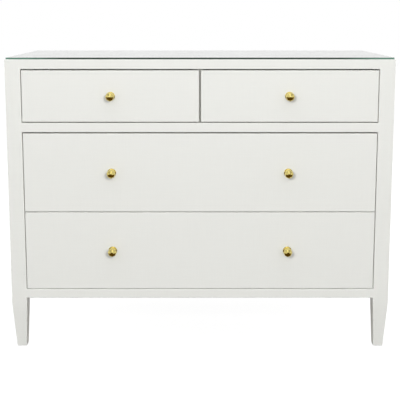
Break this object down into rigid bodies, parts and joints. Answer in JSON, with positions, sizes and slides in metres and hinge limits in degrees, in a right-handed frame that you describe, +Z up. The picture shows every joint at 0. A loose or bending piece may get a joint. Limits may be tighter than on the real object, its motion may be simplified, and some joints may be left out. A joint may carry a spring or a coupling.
{
  "type": "dresser",
  "caption": "Low white dresser on tapered legs with small drawers over wide drawers, a glass top and faceted brass knobs.",
  "frame": {"origin": "on the floor, under the middle of the dresser's box, knobs included", "axes": "+X to the viewer's right along the front, +Y to the back, +Z up; the fronts face -Y"},
  "size_m": [1.118, 0.542, 0.8643],
  "materials": {
    "lacquer": "white satin lacquer over fine linen",
    "board": "plain white painted board",
    "drawer_wood": "clear-lacquered birch",
    "glass": "clear float glass with a green edge",
    "brass": "polished",
    "steel": "zinc plated"
  },
  "bodies": {
    "case": {"top_panel": "lacquer", "front_left_leg": "lacquer", "front_right_leg": "lacquer", "rear_left_leg": "lacquer", "rear_right_leg": "lacquer", "left_side_panel": "lacquer", "right_side_panel": "lacquer", "bottom_rail": "lacquer", "middle_rail": "lacquer", "back_panel": "board", "bottom_panel": "board", "dust_panel": "board", "centre_divider": "board", "left_front_slide_batten": "board", "left_rear_slide_batten": "board", "right_front_slide_batten": "board", "right_rear_slide_batten": "board", "glass_top": "glass", "upper_left_drawer_left_slide_case_member": "steel", "upper_left_drawer_right_slide_case_member": "steel", "upper_right_drawer_left_slide_case_member": "steel", "upper_right_drawer_right_slide_case_member": "steel", "middle_drawer_left_slide_case_member": "steel", "middle_drawer_right_slide_case_member": "steel", "lower_drawer_left_slide_case_member": "steel", "lower_drawer_right_slide_case_member": "steel"},
    "upper_left_drawer": {"upper_left_drawer_front": "lacquer", "upper_left_drawer_left_side": "drawer_wood", "upper_left_drawer_right_side": "drawer_wood", "upper_left_drawer_back": "drawer_wood", "upper_left_drawer_bottom": "drawer_wood", "upper_left_drawer_knob": "brass"},
    "upper_left_drawer_slides": {"upper_left_drawer_left_slide_middle_member": "steel", "upper_left_drawer_right_slide_middle_member": "steel"},
    "upper_right_drawer": {"upper_right_drawer_front": "lacquer", "upper_right_drawer_left_side": "drawer_wood", "upper_right_drawer_right_side": "drawer_wood", "upper_right_drawer_back": "drawer_wood", "upper_right_drawer_bottom": "drawer_wood", "upper_right_drawer_knob": "brass"},
    "upper_right_drawer_slides": {"upper_right_drawer_left_slide_middle_member": "steel", "upper_right_drawer_right_slide_middle_member": "steel"},
    "middle_drawer": {"middle_drawer_front": "lacquer", "middle_drawer_left_side": "drawer_wood", "middle_drawer_right_side": "drawer_wood", "middle_drawer_back": "drawer_wood", "middle_drawer_bottom": "drawer_wood", "middle_drawer_left_knob": "brass", "middle_drawer_right_knob": "brass"},
    "middle_drawer_slides": {"middle_drawer_left_slide_middle_member": "steel", "middle_drawer_right_slide_middle_member": "steel"},
    "lower_drawer": {"lower_drawer_front": "lacquer", "lower_drawer_left_side": "drawer_wood", "lower_drawer_right_side": "drawer_wood", "lower_drawer_back": "drawer_wood", "lower_drawer_bottom": "drawer_wood", "lower_drawer_left_knob": "brass", "lower_drawer_right_knob": "brass"},
    "lower_drawer_slides": {"lower_drawer_left_slide_middle_member": "steel", "lower_drawer_right_slide_middle_member": "steel"}
  },
  "joints": [
    {"name": "upper_left_drawer_slide", "type": "slide", "parent": "case", "child": "upper_left_drawer", "axis": [0, -1, 0], "range_m": [0, 0.45]},
    {"name": "upper_left_middle_members", "type": "slide", "parent": "case", "child": "upper_left_drawer_slides", "axis": [0, -1, 0], "range_m": [0, 0.225]},
    {"name": "upper_right_drawer_slide", "type": "slide", "parent": "case", "child": "upper_right_drawer", "axis": [0, -1, 0], "range_m": [0, 0.45]},
    {"name": "upper_right_middle_members", "type": "slide", "parent": "case", "child": "upper_right_drawer_slides", "axis": [0, -1, 0], "range_m": [0, 0.225]},
    {"name": "middle_drawer_slide", "type": "slide", "parent": "case", "child": "middle_drawer", "axis": [0, -1, 0], "range_m": [0, 0.45]},
    {"name": "middle_middle_members", "type": "slide", "parent": "case", "child": "middle_drawer_slides", "axis": [0, -1, 0], "range_m": [0, 0.225]},
    {"name": "lower_drawer_slide", "type": "slide", "parent": "case", "child": "lower_drawer", "axis": [0, -1, 0], "range_m": [0, 0.45]},
    {"name": "lower_middle_members", "type": "slide", "parent": "case", "child": "lower_drawer_slides", "axis": [0, -1, 0], "range_m": [0, 0.225]}
  ],
  "couplings": [
    {"joint": "upper_left_middle_members", "follows": "upper_left_drawer_slide", "ratio": 0.5},
    {"joint": "upper_right_middle_members", "follows": "upper_right_drawer_slide", "ratio": 0.5},
    {"joint": "middle_middle_members", "follows": "middle_drawer_slide", "ratio": 0.5},
    {"joint": "lower_middle_members", "follows": "lower_drawer_slide", "ratio": 0.5}
  ]
}
